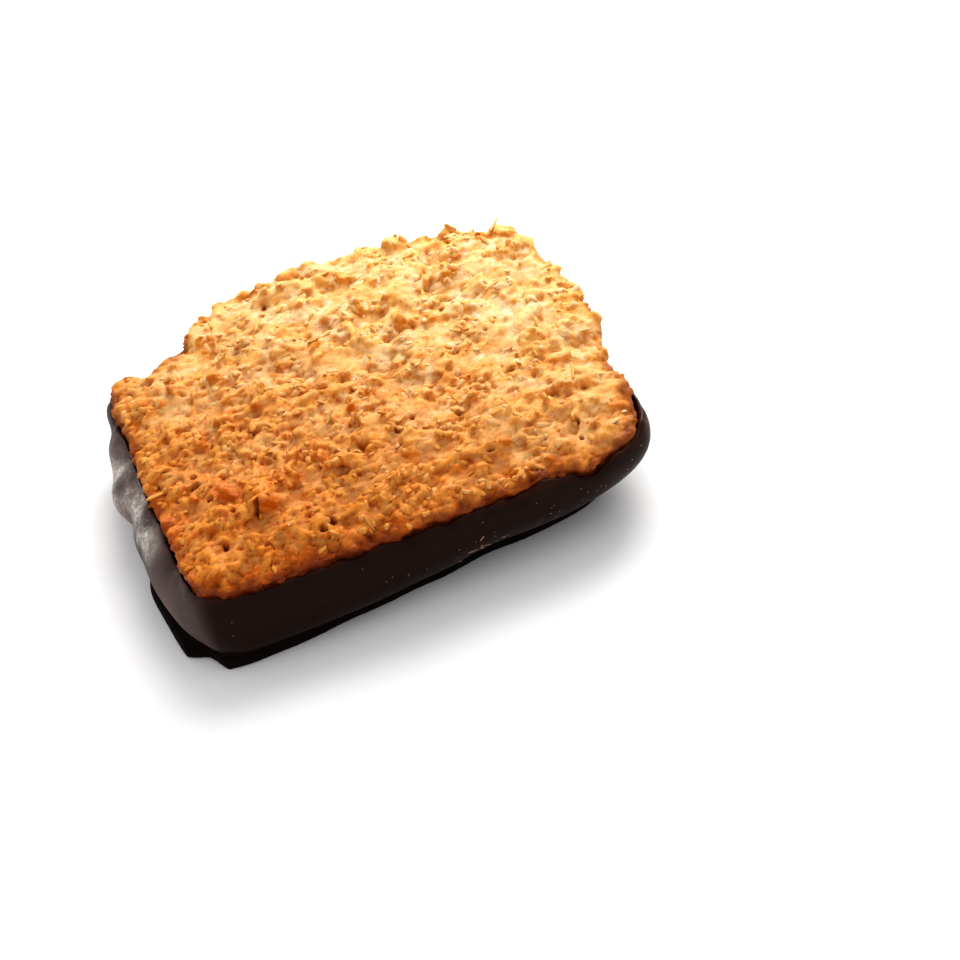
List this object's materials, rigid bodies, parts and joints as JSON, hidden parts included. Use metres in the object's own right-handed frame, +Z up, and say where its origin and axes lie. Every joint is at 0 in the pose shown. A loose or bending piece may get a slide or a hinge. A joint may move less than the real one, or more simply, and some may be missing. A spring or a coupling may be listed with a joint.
{
  "type": "coconut biscuit",
  "caption": "Oblong baked coconut biscuit with a rough golden crumb top, dipped in dark chocolate that coats its base and sides.",
  "frame": {"origin": "on the ground under the middle of the biscuit's bounding box", "axes": "+X to the right along the longer side, +Y to the back, +Z up through the crumb"},
  "size_m": [0.0574, 0.0489, 0.0141],
  "materials": {
    "coconut_crumb": "rough baked coconut crumb, golden, with paler flakes and browner, toasted high spots",
    "dark_chocolate": "smooth satin dark chocolate with a faint pale bloom on the lumpy left side"
  },
  "bodies": {
    "root": {"coconut_biscuit": "coconut_crumb", "chocolate_coat": "dark_chocolate"}
  },
  "joints": []
}
